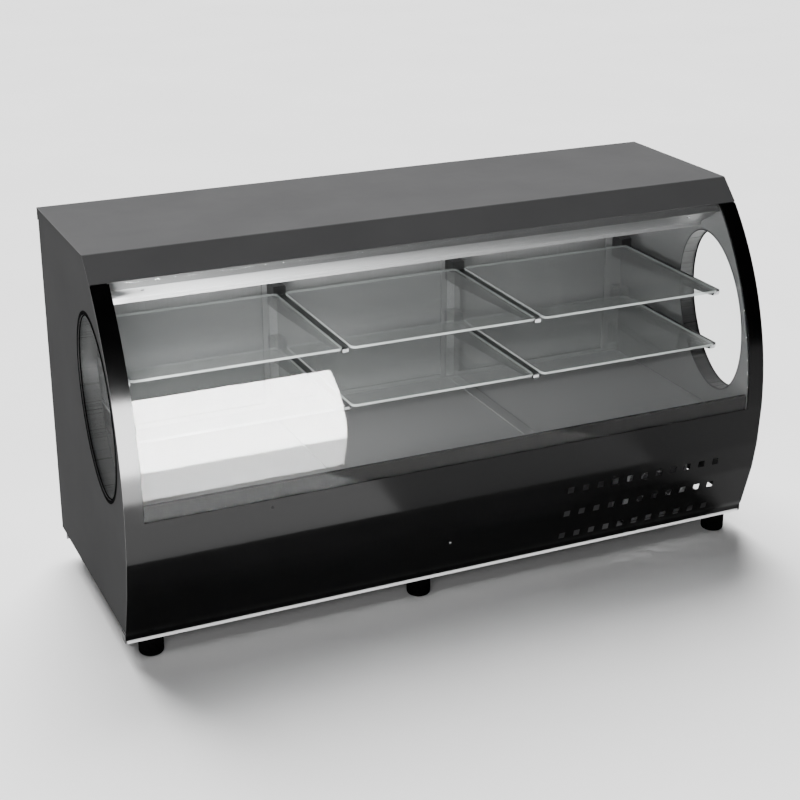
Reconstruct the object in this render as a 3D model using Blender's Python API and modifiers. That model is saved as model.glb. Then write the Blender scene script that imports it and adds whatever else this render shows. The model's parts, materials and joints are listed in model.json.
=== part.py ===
"""Counter-standing hot food display case with a curved front glass.

Metres, +Z up. The customer's side faces -Y, the width runs along X, and the undersides of the feet are z = 0.
Each sub-part is one closed object. Moving pieces have their origin on the joint's axis.
"""

import math

import bmesh
import bpy
from mathutils import Vector

# ---------------------------------------------------------------- overall sizes
HALF_W = 0.7500
HEIGHT = 0.8228
Y_REAR = 0.2974
SHEET = 0.0012          # folded sheet metal
GAP = 0.0003            # assembly clearance between touching pieces
INSIDE_X = 0.7105       # half length of what lies between the two end walls

# ---------------------------------------------------------------- curved front, two arcs in the YZ plane
UPPER_ARC = (0.3754, 0.3404, 0.67275)     # centre y, centre z, radius
LOWER_ARC = (0.4573, 0.3345, 0.75465)
ARC_SPLIT_Z = 0.3375
BAND_INNER_X = 0.7110
BAND_TOP_Z = 0.7732
GLASS_BOTTOM_Z = 0.3285
GLASS_T = 0.0060
APRON_TOP_Z = 0.3280
APRON_BEND_Z = (0.2363, 0.1703, 0.0684)
APRON_HEM = ((-0.2424, 0.0465), (-0.2424, 0.0560))

# ---------------------------------------------------------------- roof and tray
FASCIA_LOW = (-0.1387, 0.7755)
ROOF_FRONT = (-0.0922, HEIGHT)
ROOF_HEM_Z = 0.7952
TRAY_LINE = ((-0.2404, 0.0690), (-0.2404, 0.0455), (-0.2424, 0.0455), (-0.2424, 0.0390), (0.2660, 0.0390),
             (0.2660, 0.0700))
TRAY_HALF_X = 0.7465
TRAY_FLOOR_HALF_X, TRAY_LIP_Y = 0.7220, -0.2360     # behind its front lip the tray is shorter

# ---------------------------------------------------------------- vents in the apron
VENT_SIZE = 0.0160
VENT_X0, VENT_PITCH, VENT_COUNT = 0.2592, 0.0381, 11
VENT_ROWS_Z = (0.0795, 0.1422, 0.2062)
CUT_Y = (-0.4000, -0.2000)                # how far the front's cutters reach

# ---------------------------------------------------------------- end walls and their leaning oval windows
SKIN_X = 0.7485
PANEL_BOTTOM = (-0.2446, 0.0600)
LINER_X = 0.7110
PANE_X = (0.7400, 0.7450)
WINDOW_CENTRE = (-0.1264, 0.5157)
WINDOW_TILT = math.radians(-19.0)
WINDOW_LIP = (0.1270, 0.1950)
WINDOW_HOLE = (0.1222, 0.1902)
WINDOW_SLEEVE_OUT = (0.1218, 0.1898)
WINDOW_SLEEVE_IN = (0.1190, 0.1870)
WINDOW_PANE = (0.1187, 0.1867)
SLEEVE_X = 0.7102

# ---------------------------------------------------------------- inside
SILL_LINE = ((-0.2890, 0.3000), (-0.2890, 0.3577), (-0.2770, 0.3577), (-0.2770, 0.2650))
CANOPY_LINE = ((-0.1285, 0.7735), (-0.1385, 0.7572), (-0.0673, 0.7141), (-0.0673, 0.7043), (-0.0560, 0.7043))
CEILING = ((-0.1000, 0.7990), (0.2670, 0.8002))
LAMP_AXIS = (-0.0500, 0.7550)
LAMP_HALF, LAMP_CAP, LAMP_R, LAMP_CAP_R = 0.6150, 0.0200, 0.0130, 0.0135
DECK_Z = 0.2843
DECK_Y = (-0.2755, 0.2670)
DECK_T = 0.0015
STRIP_X, STRIP_HALF, STRIP_FLANGE = 0.2390, 0.0140, 0.0280
STRIP_Z = (0.2825, 0.2862)
SHELF_TOP_Z = {"mid": 0.4515, "top": 0.5820}
SHELF_Y = (-0.1792, 0.2213)
SHELF_SPANS = {"left": (-0.6923, -0.2378), "centre": (-0.2183, 0.2183), "right": (0.2378, 0.6923)}
SHELF_CORNER = 0.0120
BRACKET_SPANS = ((-0.7095, -0.6820), (-0.2430, -0.2130), (0.2130, 0.2430), (0.6820, 0.7095))
BRACKET_Y = (-0.1600, 0.2220, 0.2675)
BRACKET_DEPTH = (0.0100, 0.0340)          # at the arm's tip and at its root
BRACKET_RISE = 0.0200

# ---------------------------------------------------------------- rear
FRAME_Y = (0.2678, 0.2738)
FRAME_Z = (0.2450, 0.7945)
OPENING_Z = (0.2950, 0.7350)
OPENING_SPANS = ((-0.6655, -0.2545), (-0.2045, 0.2045), (0.2545, 0.6655))
TRACK_Y = (0.2741, 0.2959)
LANE_Y = (0.2780, 0.2850, 0.2920)
LANE_WIDTH = 0.0062
TRACK_LOWER_Z = (0.2580, 0.2740, 0.2640)  # base, wall tops, lane bottoms
TRACK_UPPER_Z = (0.7945, 0.7700, 0.7900)
DOOR_T = 0.0050
DOOR_Z = (0.2645, 0.7830)
DOORS = {"centre": (-0.2440, 0.2440, 0, 0.1700), "left": (-0.7100, -0.2150, 1, -0.6300),
         "right": (0.2150, 0.7100, 2, 0.6300)}          # x span, lane, finger cup x
GRIP_Z = 0.5200
GRIP_HOLE_R = 0.0160
GRIP_R = (0.0140, 0.0157, 0.0190)         # inside of the cup, its outside, its lip
GRIP_LIP = (0.0027, 0.0032)               # under and top of the lip, from the door's middle
GRIP_FLOOR = (-0.0025, -0.0017)

# ---------------------------------------------------------------- machine space
FEET_X = {"left": -0.6920, "centre": -0.0840, "right": 0.6900}
FEET_Y = {"front": -0.2219, "rear": 0.2450}
FOOT_R, FOOT_H = 0.0262, 0.0387
FAN_CENTRE = (0.5450, 0.1290)
FAN_Y = (-0.1900, -0.1400)
FAN_HALF, FAN_BORE = 0.0860, 0.0760
BLADES = 5
BLADE_LINE = ((0.0280, 0), (0.0720, 6), (0.0730, 26), (0.0700, 44), (0.0280, 36))   # radius, degrees
ROTOR_Y = (-0.1780, -0.1640)
REAR_PANEL_X, REAR_PANEL_Y, REAR_PANEL_Z = 0.7465, (0.2680, 0.2692), (0.0420, 0.2445)
SLOT_X0, SLOT_PITCH, SLOT_COUNT, SLOT_WIDTH, SLOT_Z = 0.1500, 0.0250, 16, 0.0080, (0.0900, 0.2000)
SERVICE_HOLE = (-0.6400, 0.1150, -0.4600, 0.1850)
PLATE_SIZE = (-0.6700, 0.1000, -0.4300, 0.2000)
PLATE_Y = (0.2695, 0.2710)
KNOB_AXIS = (-0.6100, 0.1500)
SWITCH_X = {"power": -0.5300, "light": -0.4850}
SWITCH_Z = 0.1500
SWITCH_HOLE = (0.0082, 0.0125)
SWITCH_HALF = 0.0078
ROCKER_LINE = ((-0.0060, -0.0060), (0.0010, -0.0115), (0.0062, -0.0112), (0.0042, 0.0000), (0.0062, 0.0112),
               (0.0010, 0.0115), (-0.0060, 0.0060))
GLAND_AXIS = (-0.6900, 0.0800)

# the turn that lays a flat outline, drawn in local X and Y, across each axis
ACROSS = {"x": (math.pi / 2, 0.0, math.pi / 2), "y": (math.pi / 2, 0.0, 0.0), "z": (0.0, 0.0, 0.0)}
# the turn that points local Z along each axis
ALONG = {"x": (0.0, math.pi / 2, 0.0), "y": (-math.pi / 2, 0.0, 0.0), "z": (0.0, 0.0, 0.0)}


# ================================================================ scene, collections and materials
for item in list(bpy.data.objects):
    bpy.data.objects.remove(item, do_unlink=True)

PARTS = bpy.data.collections.new("hot_food_display_case")
CUTTERS = bpy.data.collections.new("cutters")
for group in (PARTS, CUTTERS):
    bpy.context.scene.collection.children.link(group)


def material(name, color, metallic=0.0, roughness=0.5, alpha=1.0):
    mat = bpy.data.materials.new(name)
    mat.use_nodes = True
    shader = mat.node_tree.nodes["Principled BSDF"]
    shader.inputs["Base Color"].default_value = (*color, 1.0)
    shader.inputs["Metallic"].default_value = metallic
    shader.inputs["Roughness"].default_value = roughness
    shader.inputs["Alpha"].default_value = alpha
    return mat


BLACK = material("black_coated_sheet", (0.020, 0.020, 0.021), 0.0, 0.32)
GREY = material("grey_coated_sheet", (0.180, 0.180, 0.182), 0.0, 0.42)
STEEL = material("brushed_stainless", (0.560, 0.560, 0.565), 1.0, 0.30)
ZINC = material("zinc_plated_sheet", (0.620, 0.625, 0.630), 1.0, 0.42)
CLEAR = material("clear_glass", (0.820, 0.860, 0.850), 0.0, 0.05, 0.35)
RUBBER = material("black_rubber", (0.018, 0.018, 0.018), 0.0, 0.70)
PLASTIC = material("black_plastic", (0.025, 0.025, 0.026), 0.0, 0.40)
WHITE = material("white_lamp", (0.900, 0.900, 0.880), 0.0, 0.30)
ALUMINIUM = material("aluminium_track", (0.700, 0.700, 0.710), 1.0, 0.35)
RED = material("red_switch", (0.450, 0.030, 0.025), 0.0, 0.35)


# ================================================================ modelling helpers
def place(axis, u, v, w):
    """The point at (u, v) across an axis and w along it."""
    return {"x": (w, u, v), "y": (u, w, v), "z": (u, v, w)}[axis]


def add(name, data, mat, location=(0.0, 0.0, 0.0), rotation=(0.0, 0.0, 0.0)):
    """Makes a named object of a mesh or curve among the parts."""
    data.materials.append(mat)
    obj = bpy.data.objects.new(name, data)
    obj.location = location
    obj.rotation_euler = rotation
    PARTS.objects.link(obj)
    return obj


def box_mesh(name, low, high):
    """A mesh of one box between two corners, from a cube primitive."""
    low, high = Vector(low), Vector(high)
    bm = bmesh.new()
    bmesh.ops.create_cube(bm, size=1.0)
    bmesh.ops.scale(bm, vec=high - low, verts=bm.verts)
    bmesh.ops.translate(bm, vec=(high + low) / 2, verts=bm.verts)
    mesh = bpy.data.meshes.new(name)
    bm.to_mesh(mesh)
    bm.free()
    return mesh


def box(name, low, high, mat):
    return add(name, box_mesh(name, low, high), mat)


def cutter(name, low, high):
    """A box that only cuts: it stays in its own collection and isn't rendered."""
    obj = bpy.data.objects.new(name, box_mesh(name, low, high))
    obj.hide_render = True
    obj.display_type = "WIRE"
    CUTTERS.objects.link(obj)
    return obj


def cut(obj, tool):
    boolean = obj.modifiers.new(tool.name, "BOOLEAN")
    boolean.operation = "DIFFERENCE"
    boolean.solver = "EXACT"
    boolean.object = tool


def outline(name, axis, loops, low, high, mat, origin=(0.0, 0.0)):
    """A flat outline with holes, extruded along an axis; origin is the object's place across that axis."""
    curve = bpy.data.curves.new(name, "CURVE")
    curve.dimensions = "2D"
    curve.fill_mode = "BOTH"
    curve.extrude = (high - low) / 2
    for loop in loops:
        spline = curve.splines.new("POLY")
        spline.points.add(len(loop) - 1)
        for point, (u, v) in zip(spline.points, loop):
            point.co = (u - origin[0], v - origin[1], 0.0, 1.0)
        spline.use_cyclic_u = True
    return add(name, curve, mat, place(axis, *origin, (low + high) / 2), ACROSS[axis])


def turned(name, axis, profile, mat, location, steps=24):
    """Turns (radius, height) points, listed down the outer side, about a line through location along the axis."""
    mesh = bpy.data.meshes.new(name)
    mesh.from_pydata([(r, 0.0, h) for r, h in profile], [(k, k + 1) for k in range(len(profile) - 1)], [])
    obj = add(name, mesh, mat, location, ALONG[axis])
    screw = obj.modifiers.new("Turn", "SCREW")
    screw.steps = screw.render_steps = steps
    screw.use_merge_vertices = True
    screw.merge_threshold = 0.00001
    settle(obj)
    return obj


def settle(obj):
    """Gives the object its evaluated mesh, smooth but for its sharp edges."""
    bpy.context.view_layer.update()
    mesh = bpy.data.meshes.new_from_object(obj.evaluated_get(bpy.context.evaluated_depsgraph_get()))
    obj.modifiers.clear()
    obj.data = mesh
    mesh.shade_smooth()
    mesh.set_sharp_from_angle(angle=math.radians(32))


def folded(name, axis, line, low, high, mat, side, thickness=SHEET):
    """A folded sheet: a 2D line swept along an axis and thickened to its left (side 1) or right (side -1)."""
    bm = bmesh.new()
    row = [bm.verts.new(place(axis, u, v, low)) for u, v in line]
    edges = [bm.edges.new(pair) for pair in zip(row, row[1:])]
    swept = bmesh.ops.extrude_edge_only(bm, edges=edges)["geom"]
    moved = [item for item in swept if isinstance(item, bmesh.types.BMVert)]
    bmesh.ops.translate(bm, vec=place(axis, 0.0, 0.0, high - low), verts=moved)
    bm.normal_update()
    (u0, v0), (u1, v1) = line[0], line[1]
    left = Vector(place(axis, v0 - v1, u1 - u0, 0.0))
    if edges[0].link_faces[0].normal.dot(left) * side > 0:
        bmesh.ops.reverse_faces(bm, faces=bm.faces)
    mesh = bpy.data.meshes.new(name)
    bm.to_mesh(mesh)
    bm.free()
    obj = add(name, mesh, mat)
    solidify = obj.modifiers.new("Sheet", "SOLIDIFY")
    solidify.thickness = thickness
    solidify.offset = -1.0
    solidify.use_even_offset = True
    return obj


def offset_loop(points, distance):
    """Moves a closed 2D line to its left, with mitred corners."""
    normals = []
    for (u0, v0), (u1, v1) in zip(points, points[1:] + points[:1]):
        length = math.hypot(u1 - u0, v1 - v0)
        normals.append(((v0 - v1) / length, (u1 - u0) / length))
    moved = []
    for (u, v), before, after in zip(points, normals[-1:] + normals, normals):
        scale = distance / (1 + before[0] * after[0] + before[1] * after[1])
        moved.append((u + (before[0] + after[0]) * scale, v + (before[1] + after[1]) * scale))
    return moved


def ellipse(radii, steps=44):
    """A leaning oval about the window's centre."""
    c, s = math.cos(WINDOW_TILT), math.sin(WINDOW_TILT)
    loop = []
    for k in range(steps):
        t = 2 * math.pi * k / steps
        u, v = radii[0] * math.cos(t), radii[1] * math.sin(t)
        loop.append((WINDOW_CENTRE[0] + u * c - v * s, WINDOW_CENTRE[1] + u * s + v * c))
    return loop


def arc(centre, radius, start, end, steps):
    angles = [math.radians(start + (end - start) * k / steps) for k in range(steps + 1)]
    return [(centre[0] + radius * math.cos(t), centre[1] + radius * math.sin(t)) for t in angles]


def circle(centre, radius, steps=24):
    return arc(centre, radius, 0, 360, steps)[:-1]


def rectangle(u0, v0, u1, v1):
    return [(u0, v0), (u1, v0), (u1, v1), (u0, v1)]


def rounded(u0, v0, u1, v1, radius, steps=4):
    corners = ((u1 - radius, v1 - radius), (u0 + radius, v1 - radius), (u0 + radius, v0 + radius),
               (u1 - radius, v0 + radius))
    loop = []
    for k, corner in enumerate(corners):
        loop += arc(corner, radius, 90 * k, 90 * k + 90, steps)
    return loop


def evenly(low, high, steps):
    return [low + (high - low) * k / steps for k in range(steps + 1)]


def front_point(z, inset=0.0):
    """The point of the curved front at height z, moved inwards by inset."""
    cy, cz, r = UPPER_ARC if z >= ARC_SPLIT_Z else LOWER_ARC
    return (cy - math.sqrt((r - inset) ** 2 - (z - cz) ** 2), z)


# ================================================================ shell
def front_panel():
    """The bent apron and the two bands beside the glass, one sheet with the glass opening and the vents cut out."""
    bends = [front_point(z) for z in APRON_BEND_Z[::-1]]
    curve = [front_point(z) for z in evenly(APRON_TOP_Z, BAND_TOP_Z, 18)]
    panel = folded("front_panel", "x", [*APRON_HEM, *bends, *curve], -HALF_W, HALF_W, BLACK, side=-1)
    window = cutter("glass_opening", (-BAND_INNER_X, CUT_Y[0], APRON_TOP_Z), (BAND_INNER_X, 0.0, HEIGHT))
    cut(panel, window)
    half = VENT_SIZE / 2
    for row, z in enumerate(VENT_ROWS_Z, 1):
        vents = cutter(f"vents_row_{row}", (VENT_X0 - half, CUT_Y[0], z - half), (VENT_X0 + half, CUT_Y[1], z + half))
        repeat = vents.modifiers.new("Row", "ARRAY")
        repeat.count = VENT_COUNT
        repeat.use_relative_offset = False
        repeat.use_constant_offset = True
        repeat.constant_offset_displace = (VENT_PITCH, 0.0, 0.0)
        cut(panel, vents)


def end_envelope():
    """The case's outer line seen from the end, from the rear bottom up and round."""
    line = [(Y_REAR, PANEL_BOTTOM[1]), (Y_REAR, HEIGHT), ROOF_FRONT, FASCIA_LOW]
    line += [front_point(z) for z in evenly(BAND_TOP_Z, APRON_TOP_Z, 18)]
    return line + [front_point(z) for z in APRON_BEND_Z] + [PANEL_BOTTOM]


def liner_line():
    line = [(0.2672, 0.2600), (0.2672, 0.7940), (-0.1000, 0.7940)]
    line += [front_point(z, GLASS_T + 0.0012) for z in evenly(0.7560, 0.3300, 14)]
    return line + [(-0.2885, 0.2600)]


def window_trim(side, sign):
    """Black sleeve through the wall with a lip outside: a loft round rings of unlike ovals."""
    rings = [(WINDOW_SLEEVE_IN, SLEEVE_X), (WINDOW_SLEEVE_OUT, SLEEVE_X), (WINDOW_SLEEVE_OUT, SKIN_X + GAP),
             (WINDOW_LIP, SKIN_X + GAP), (WINDOW_LIP, HALF_W), (WINDOW_SLEEVE_IN, HALF_W)]
    bm = bmesh.new()
    loops = [[bm.verts.new((sign * x, *p)) for p in ellipse(radii)] for radii, x in rings]
    for low, high in zip(loops, loops[1:] + loops[:1]):
        for a, b, c, d in zip(low, low[1:] + low[:1], high[1:] + high[:1], high):
            bm.faces.new((a, b, c, d))
    bmesh.ops.recalc_face_normals(bm, faces=bm.faces)
    mesh = bpy.data.meshes.new(f"window_trim_{side}")
    bm.to_mesh(mesh)
    bm.free()
    mesh.shade_smooth()
    mesh.set_sharp_from_angle(angle=math.radians(32))
    add(mesh.name, mesh, PLASTIC)


def end_wall(side, sign):
    """Outer skin, inner liner, pane and trim of one end."""
    for name, line, x0, x1, mat in (
            ("end_panel", offset_loop(end_envelope(), SHEET + GAP), SKIN_X - SHEET, SKIN_X, GREY),
            ("side_liner", liner_line(), LINER_X, LINER_X + SHEET, STEEL)):
        outline(f"{name}_{side}", "x", [line, ellipse(WINDOW_HOLE)], *sorted((sign * x0, sign * x1)), mat)
    outline(f"side_glass_{side}", "x", [ellipse(WINDOW_PANE)], *sorted(sign * x for x in PANE_X), CLEAR)
    window_trim(side, sign)


def base_tray():
    """A tray under the whole case, whose front lip runs on to the corners past the shorter floor."""
    tray = folded("base_tray", "x", TRAY_LINE, -TRAY_HALF_X, TRAY_HALF_X, STEEL, side=1)
    for side, sign in (("left", -1), ("right", 1)):
        x0, x1 = sorted((sign * TRAY_FLOOR_HALF_X, sign * HALF_W))
        cut(tray, cutter(f"tray_end_{side}", (x0, TRAY_LIP_Y, 0.0200), (x1, Y_REAR, 0.1000)))


def shell():
    base_tray()
    front_panel()
    folded("top_cover", "x", [(Y_REAR, ROOF_HEM_Z), (Y_REAR, HEIGHT), ROOF_FRONT, FASCIA_LOW],
           -HALF_W, HALF_W, GREY, side=1)
    end_wall("left", -1)
    end_wall("right", 1)


# ================================================================ front glass, sill and light
def front_glass():
    line = [front_point(z) for z in evenly(GLASS_BOTTOM_Z, BAND_TOP_Z, 20)]
    folded("front_glass", "x", line, -INSIDE_X, INSIDE_X, CLEAR, side=-1, thickness=GLASS_T)


def light():
    """The tube lamp under the roof, its two holders and the canopy that hides it from the front."""
    folded("light_canopy", "x", CANOPY_LINE, -INSIDE_X, INSIDE_X, STEEL, side=1)
    cap = LAMP_HALF - LAMP_CAP
    profile = [(0.0, LAMP_HALF), (LAMP_CAP_R, LAMP_HALF), (LAMP_CAP_R, cap), (LAMP_R, cap - 0.0005),
               (LAMP_R, 0.0005 - cap), (LAMP_CAP_R, -cap), (LAMP_CAP_R, -LAMP_HALF), (0.0, -LAMP_HALF)]
    turned("lamp_tube", "x", profile, WHITE, (0.0, *LAMP_AXIS), steps=16)
    y, z = LAMP_AXIS
    for side, sign in (("left", -1), ("right", 1)):
        x0, x1 = sorted((sign * (LAMP_HALF + GAP), sign * (LAMP_HALF + 0.0180)))
        box(f"lampholder_{side}", (x0, y - 0.0170, z - 0.0170), (x1, y + 0.0170, CEILING[0][1] - GAP), PLASTIC)


def ceiling_panel():
    (y0, z0), (y1, z1) = CEILING
    box("ceiling_panel", (-INSIDE_X, y0, z0), (INSIDE_X, y1, z1), STEEL)


# ================================================================ rear frame, tracks, doors
def rear_frame():
    openings = [rectangle(a, OPENING_Z[0], b, OPENING_Z[1]) for a, b in OPENING_SPANS]
    frame = rectangle(-TRAY_HALF_X, FRAME_Z[0], TRAY_HALF_X, FRAME_Z[1])
    outline("rear_frame", "y", [frame, *openings], *FRAME_Y, STEEL)


def track(name, base_z, wall_z, lane_z):
    """A door track: an extrusion with four walls and three lanes."""
    line = [(TRACK_Y[0], base_z), (TRACK_Y[0], wall_z)]
    for y in LANE_Y:
        low, high = y - LANE_WIDTH / 2, y + LANE_WIDTH / 2
        line += [(low, wall_z), (low, lane_z), (high, lane_z), (high, wall_z)]
    line += [(TRACK_Y[1], wall_z), (TRACK_Y[1], base_z)]
    outline(name, "x", [line], -INSIDE_X, INSIDE_X, ALUMINIUM)


def rear_door(side, x0, x1, lane, grip_x):
    """A sliding door with a round finger cup, closed towards the inside."""
    y = LANE_Y[lane]
    hole = circle((grip_x, GRIP_Z), GRIP_HOLE_R)
    door = outline(f"rear_door_{side}", "y", [rectangle(x0, DOOR_Z[0], x1, DOOR_Z[1]), hole],
                   y - DOOR_T / 2, y + DOOR_T / 2, STEEL, ((x0 + x1) / 2, DOOR_Z[0]))
    inside, sleeve, lip = GRIP_R
    under, over = GRIP_LIP
    bottom, floor = GRIP_FLOOR
    profile = [(0.0, floor), (inside, floor), (inside, over), (lip, over), (lip, under), (sleeve, under),
               (sleeve, bottom), (0.0, bottom)]
    grip = turned(f"door_grip_{side}", "y", profile, STEEL, (grip_x, y, GRIP_Z))
    bpy.context.view_layer.update()
    grip.parent = door
    grip.matrix_parent_inverse = door.matrix_world.inverted()


def rear():
    rear_frame()
    track("track_lower", *TRACK_LOWER_Z)
    track("track_upper", *TRACK_UPPER_Z)
    for side, sizes in DOORS.items():
        rear_door(side, *sizes)


# ================================================================ shelves, brackets, deck
def bracket(name, under, x0, x1):
    """A shelf arm that tapers to the front, with a lip that rises behind the shelf."""
    tip, root = BRACKET_DEPTH
    front, lip, back = BRACKET_Y
    line = [(front, under - tip), (lip, under - root), (back, under - root), (back, under + BRACKET_RISE),
            (lip, under + BRACKET_RISE), (lip, under), (front, under)]
    outline(name, "x", [line], x0, x1, STEEL)


def shelves():
    for level, top in SHELF_TOP_Z.items():
        for number, span in enumerate(BRACKET_SPANS, 1):
            bracket(f"bracket_{level}_{number}", top - GLASS_T - GAP, *span)
        for side, (x0, x1) in SHELF_SPANS.items():
            plan = rounded(x0, SHELF_Y[0], x1, SHELF_Y[1], SHELF_CORNER)
            outline(f"shelf_{level}_{side}", "z", [plan], top - GLASS_T, top, CLEAR)


def deck():
    """Three pans with a hat-shaped strip over each joint."""
    near, far = STRIP_X - STRIP_HALF - GAP, STRIP_X + STRIP_HALF + GAP
    for side, x0, x1 in (("left", -INSIDE_X, -far), ("centre", -near, near), ("right", far, INSIDE_X)):
        box(f"deck_pan_{side}", (x0, DECK_Y[0], DECK_Z - DECK_T), (x1, DECK_Y[1], DECK_Z), STEEL)
    low, high = STRIP_Z
    half = [(STRIP_HALF, high), (STRIP_HALF, low), (STRIP_FLANGE, low)]
    hat = [(-u, v) for u, v in half[::-1]] + half
    for side, x in (("left", -STRIP_X), ("right", STRIP_X)):
        folded(f"deck_strip_{side}", "y", [(x + u, v) for u, v in hat], *DECK_Y, STEEL, side=-1)


# ================================================================ machine space
def rear_panel():
    slots = [rectangle(x - SLOT_WIDTH / 2, SLOT_Z[0], x + SLOT_WIDTH / 2, SLOT_Z[1])
             for x in (SLOT_X0 + SLOT_PITCH * k for k in range(SLOT_COUNT))]
    frame = rectangle(-REAR_PANEL_X, REAR_PANEL_Z[0], REAR_PANEL_X, REAR_PANEL_Z[1])
    outline("rear_panel", "y", [frame, rectangle(*SERVICE_HOLE), *slots], *REAR_PANEL_Y, STEEL)


def controls():
    """A plate with the thermostat knob and two rocker switches."""
    u, v = SWITCH_HOLE
    holes = [rectangle(x - u, SWITCH_Z - v, x + u, SWITCH_Z + v) for x in SWITCH_X.values()]
    outline("control_plate", "y", [rectangle(*PLATE_SIZE), *holes], *PLATE_Y, BLACK)
    profile = [(0.0, 0.0180), (0.0135, 0.0180), (0.0150, 0.0165), (0.0165, 0.0045), (0.0200, 0.0030),
               (0.0200, 0.0), (0.0, 0.0)]
    turned("thermostat_knob", "y", profile, PLASTIC, (KNOB_AXIS[0], PLATE_Y[1] + GAP, KNOB_AXIS[1]))
    for kind, mat in (("power", RED), ("light", PLASTIC)):
        x = SWITCH_X[kind]
        line = [(PLATE_Y[0] + du, SWITCH_Z + dv) for du, dv in ROCKER_LINE]
        outline(f"{kind}_switch", "x", [line], x - SWITCH_HALF, x + SWITCH_HALF, mat, (PLATE_Y[0], SWITCH_Z))


def mains_gland():
    profile = [(0.0045, 0.0205), (0.0090, 0.0205), (0.0105, 0.0185), (0.0105, 0.0070), (0.0130, 0.0060),
               (0.0130, 0.0), (0.0, 0.0)]
    bore = [(0.0, 0.0065), (0.0045, 0.0065)]
    turned("mains_gland", "y", bore + profile, PLASTIC, (GLAND_AXIS[0], PLATE_Y[0], GLAND_AXIS[1]), steps=18)


def fan():
    """A square housing with a round bore, and the rotor in it."""
    x, z = FAN_CENTRE
    square = rounded(x - FAN_HALF, z - FAN_HALF, x + FAN_HALF, z + FAN_HALF, 0.0080, 2)
    outline("fan_frame", "y", [square, circle(FAN_CENTRE, FAN_BORE, 28)], *FAN_Y, ZINC)
    blades = []
    for k in range(BLADES):
        for radius, degrees in BLADE_LINE:
            t = math.radians(360 * k / BLADES + degrees)
            blades.append((x + radius * math.cos(t), z + radius * math.sin(t)))
    outline("fan_rotor", "y", [blades], *ROTOR_Y, PLASTIC, FAN_CENTRE)


def feet():
    profile = [(0.0, FOOT_H), (FOOT_R, FOOT_H), (FOOT_R, 0.0045), (FOOT_R - 0.0010, 0.0012),
               (FOOT_R - 0.0040, 0.0), (0.0, 0.0)]
    for row, y in FEET_Y.items():
        for side, x in FEET_X.items():
            turned(f"foot_{row}_{side}", "z", profile, RUBBER, (x, y, 0.0), steps=20)


# ================================================================ the case
shell()
front_glass()
folded("front_sill", "x", SILL_LINE, -INSIDE_X, INSIDE_X, BLACK, side=-1)
light()
ceiling_panel()
rear()
shelves()
deck()
rear_panel()
controls()
mains_gland()
fan()
feet()
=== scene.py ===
"""Looks for the hot food display case: fine surfaces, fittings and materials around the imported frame."""

import json
import math

import bmesh
import bpy
from mathutils import Matrix, Vector

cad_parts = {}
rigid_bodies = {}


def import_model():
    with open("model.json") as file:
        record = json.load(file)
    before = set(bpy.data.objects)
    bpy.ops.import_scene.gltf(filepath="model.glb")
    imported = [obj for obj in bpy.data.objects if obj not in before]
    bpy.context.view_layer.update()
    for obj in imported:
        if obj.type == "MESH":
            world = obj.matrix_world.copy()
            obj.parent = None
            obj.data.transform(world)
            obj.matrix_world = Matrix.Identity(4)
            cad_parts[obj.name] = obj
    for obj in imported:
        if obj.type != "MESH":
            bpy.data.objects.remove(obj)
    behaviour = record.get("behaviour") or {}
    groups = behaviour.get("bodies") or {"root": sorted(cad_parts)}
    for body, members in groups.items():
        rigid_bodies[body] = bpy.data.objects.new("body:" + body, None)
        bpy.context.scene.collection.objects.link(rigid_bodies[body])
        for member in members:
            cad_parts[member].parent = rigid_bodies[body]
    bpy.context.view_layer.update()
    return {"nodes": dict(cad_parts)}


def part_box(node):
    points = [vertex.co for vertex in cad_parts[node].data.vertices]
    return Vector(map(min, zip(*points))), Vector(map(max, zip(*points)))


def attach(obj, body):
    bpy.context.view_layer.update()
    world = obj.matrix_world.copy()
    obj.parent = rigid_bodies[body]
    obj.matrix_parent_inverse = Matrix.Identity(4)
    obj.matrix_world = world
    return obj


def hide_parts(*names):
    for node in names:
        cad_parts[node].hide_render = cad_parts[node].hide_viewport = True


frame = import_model()

# ---------------------------------------------------------------- driving dimensions, in metres
HALF_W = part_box("front_panel")[1].x
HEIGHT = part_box("top_cover")[1].z
Y_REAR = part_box("top_cover")[1].y
INSIDE_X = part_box("front_glass")[1].x
GLASS_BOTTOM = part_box("front_glass")[0].z
UPPER_ARC = (0.3754, 0.3404, 0.67275)     # centre y, centre z, radius of the curved front
LOWER_ARC = (0.4573, 0.3345, 0.75465)
ARC_SPLIT_Z = 0.3375
BAND_INNER_X = 0.7110
BAND_TOP_Z = 0.7732
APRON_TOP_Z = 0.3280
APRON_BEND_Z = (0.2363, 0.1703, 0.0684)
APRON_HEM = ((-0.2424, 0.0465), (-0.2424, 0.0560))
FASCIA_LOW, ROOF_FRONT = (-0.1387, 0.7755), (-0.0922, HEIGHT)
SHEET, GLASS_T = 0.0012, 0.0060
VENT_SIZE, VENT_X0, VENT_PITCH, VENT_COUNT = 0.0160, 0.2592, 0.0381, 11
VENT_ROWS_Z = (0.0795, 0.1422, 0.2062)
WINDOW_CENTRE, WINDOW_TILT = (-0.1264, 0.5157), math.radians(-19.0)
SLEEVE_IN = (0.1190, 0.1870)
LEVELS = ("mid", "top")
BAYS = ("left", "centre", "right")
MULLION_X = 0.2295

REAR_PANEL_Y = 0.2692
LAMP_Y, LAMP_Z = -0.0500, 0.7550
FLOOR_HALF = 40.0
SOFTBOX_X, SOFTBOX_Y, SOFTBOX_WIDTH = -0.300, -1.30, 0.81
CAMERA_AT = (-1.4498, -3.1264, 1.7546)
CAMERA_TURN = (math.radians(69.597), 0.0, math.radians(-24.461))
CAMERA_LENS, CAMERA_SHIFT_Y = 73.75, -0.0582

ACROSS = {"x": (math.pi / 2, 0.0, math.pi / 2), "y": (math.pi / 2, 0.0, 0.0), "z": (0.0, 0.0, 0.0)}


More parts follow.
